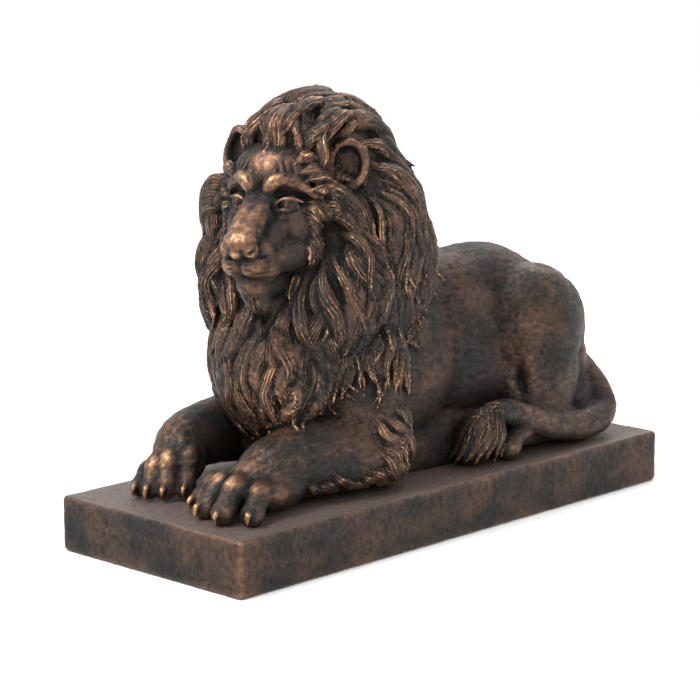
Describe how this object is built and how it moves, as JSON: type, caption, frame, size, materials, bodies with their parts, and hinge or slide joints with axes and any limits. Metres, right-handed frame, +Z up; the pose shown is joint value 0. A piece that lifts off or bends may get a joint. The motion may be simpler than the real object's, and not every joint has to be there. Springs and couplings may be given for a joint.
{
  "type": "lion statue",
  "caption": "Statue of a maned lion lying on a rectangular plinth, its head turned to its left and its tail laid along its side.",
  "frame": {"origin": "centre of the plinth's underside", "axes": "+Z up, the lion faces -Y, its left side is +X, and Y runs along the plinth"},
  "size_m": [0.24, 0.6, 0.4276],
  "materials": {
    "lion": "bronzed resin, dark with rubbed copper edges",
    "plinth": "bronzed resin, dark and rough with a rubbed arris"
  },
  "bodies": {
    "root": {"lion": "lion", "plinth": "plinth"}
  },
  "joints": []
}
